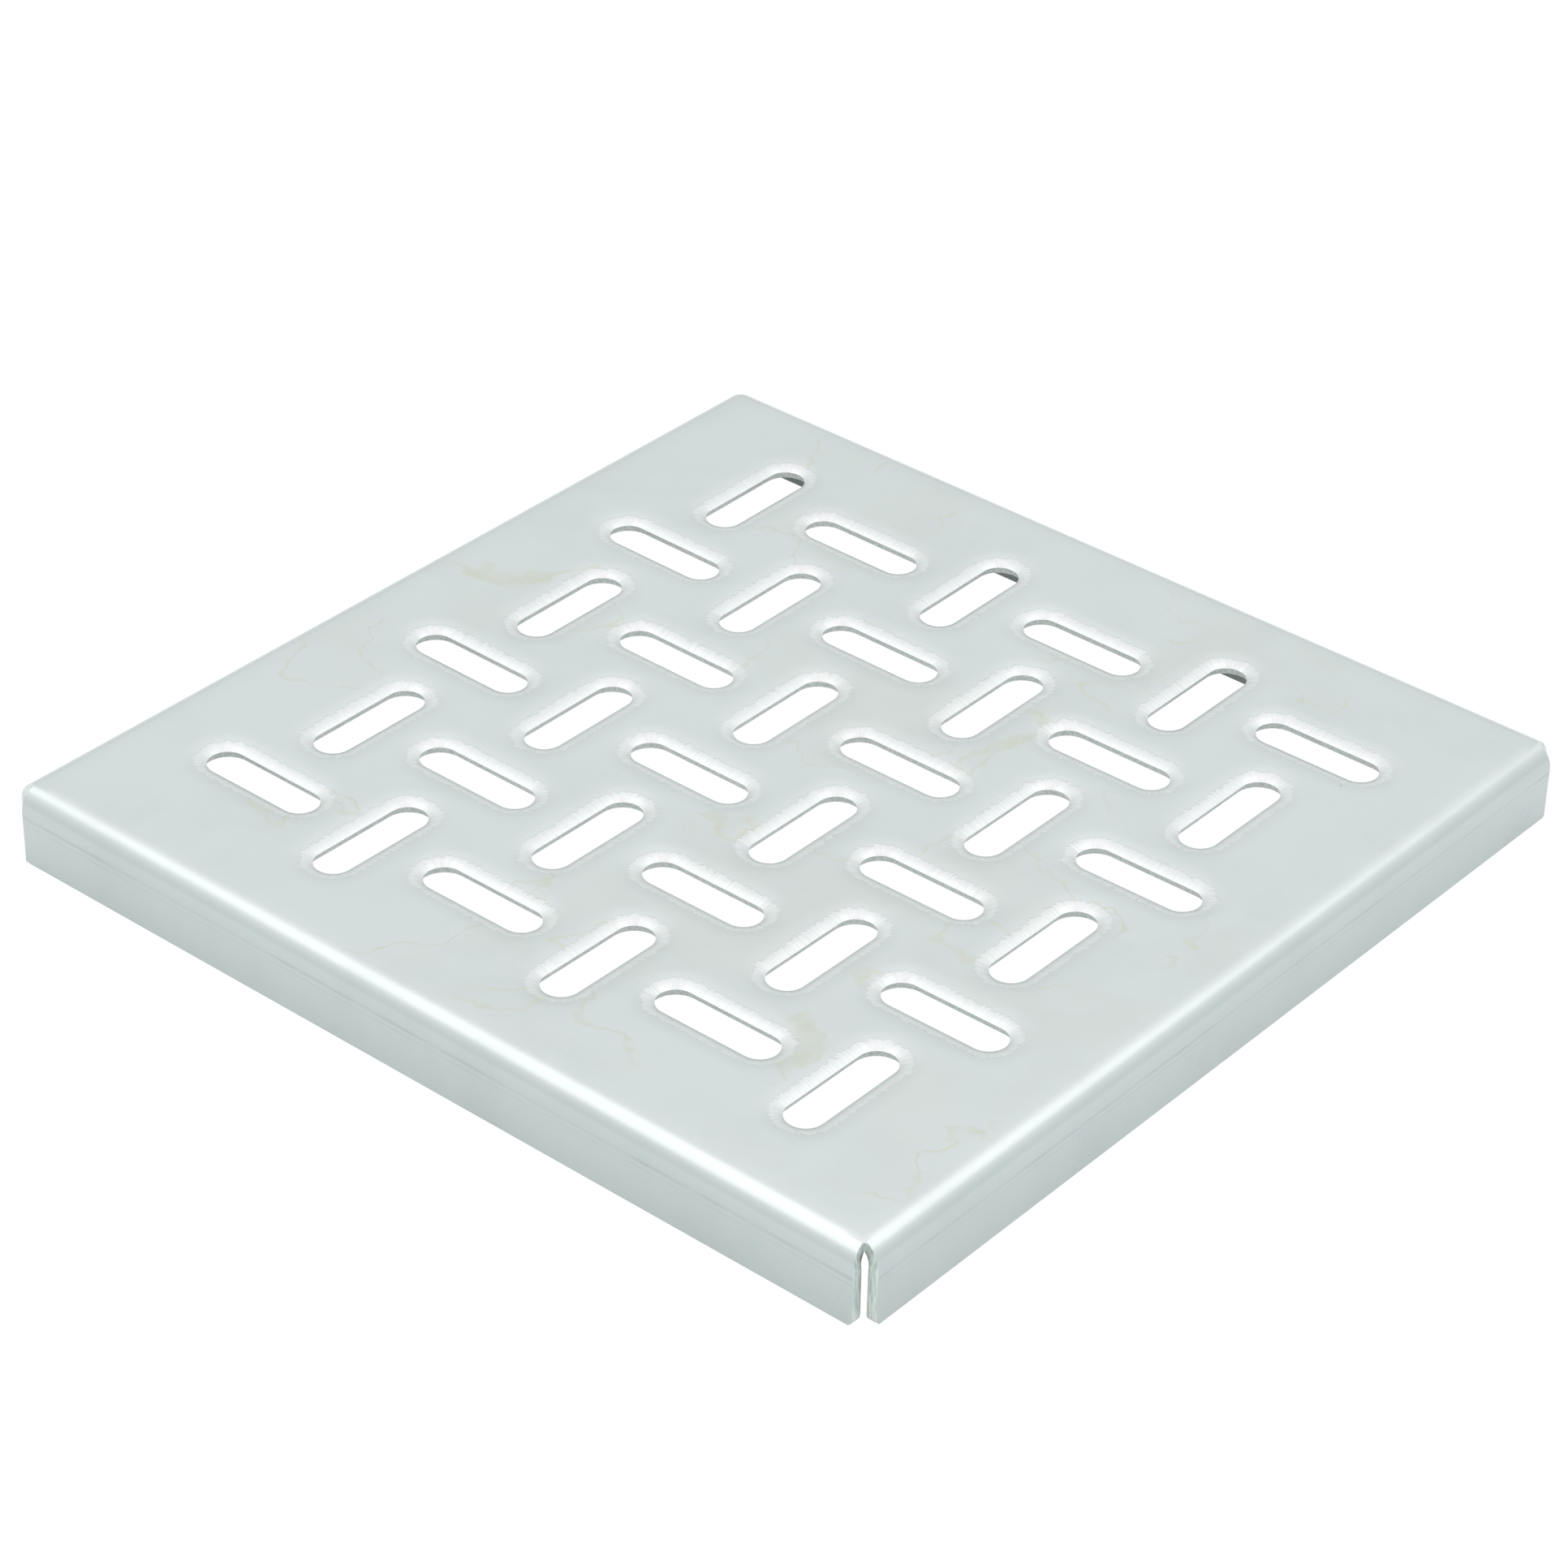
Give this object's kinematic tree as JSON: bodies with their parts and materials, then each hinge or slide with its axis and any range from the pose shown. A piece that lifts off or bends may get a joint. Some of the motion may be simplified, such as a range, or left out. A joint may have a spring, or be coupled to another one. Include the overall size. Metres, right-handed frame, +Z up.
{
  "type": "floor drain grate",
  "caption": "Square stainless floor drain grate: flat tread with obround slots in a basket weave, rims pressed down, and edges folded into flanges with open corner notches.",
  "frame": {"origin": "middle of the square that the flanges' free edges stand on", "axes": "+Z up, out of the tread; +X and +Y square to the flanges, with the slots along one or the other"},
  "size_m": [0.197, 0.197, 0.015],
  "materials": {
    "stainless": "satin cold-rolled stainless sheet, with bright burnished folds and slot rims"
  },
  "bodies": {
    "root": {"grate_sheet": "stainless"}
  },
  "joints": []
}
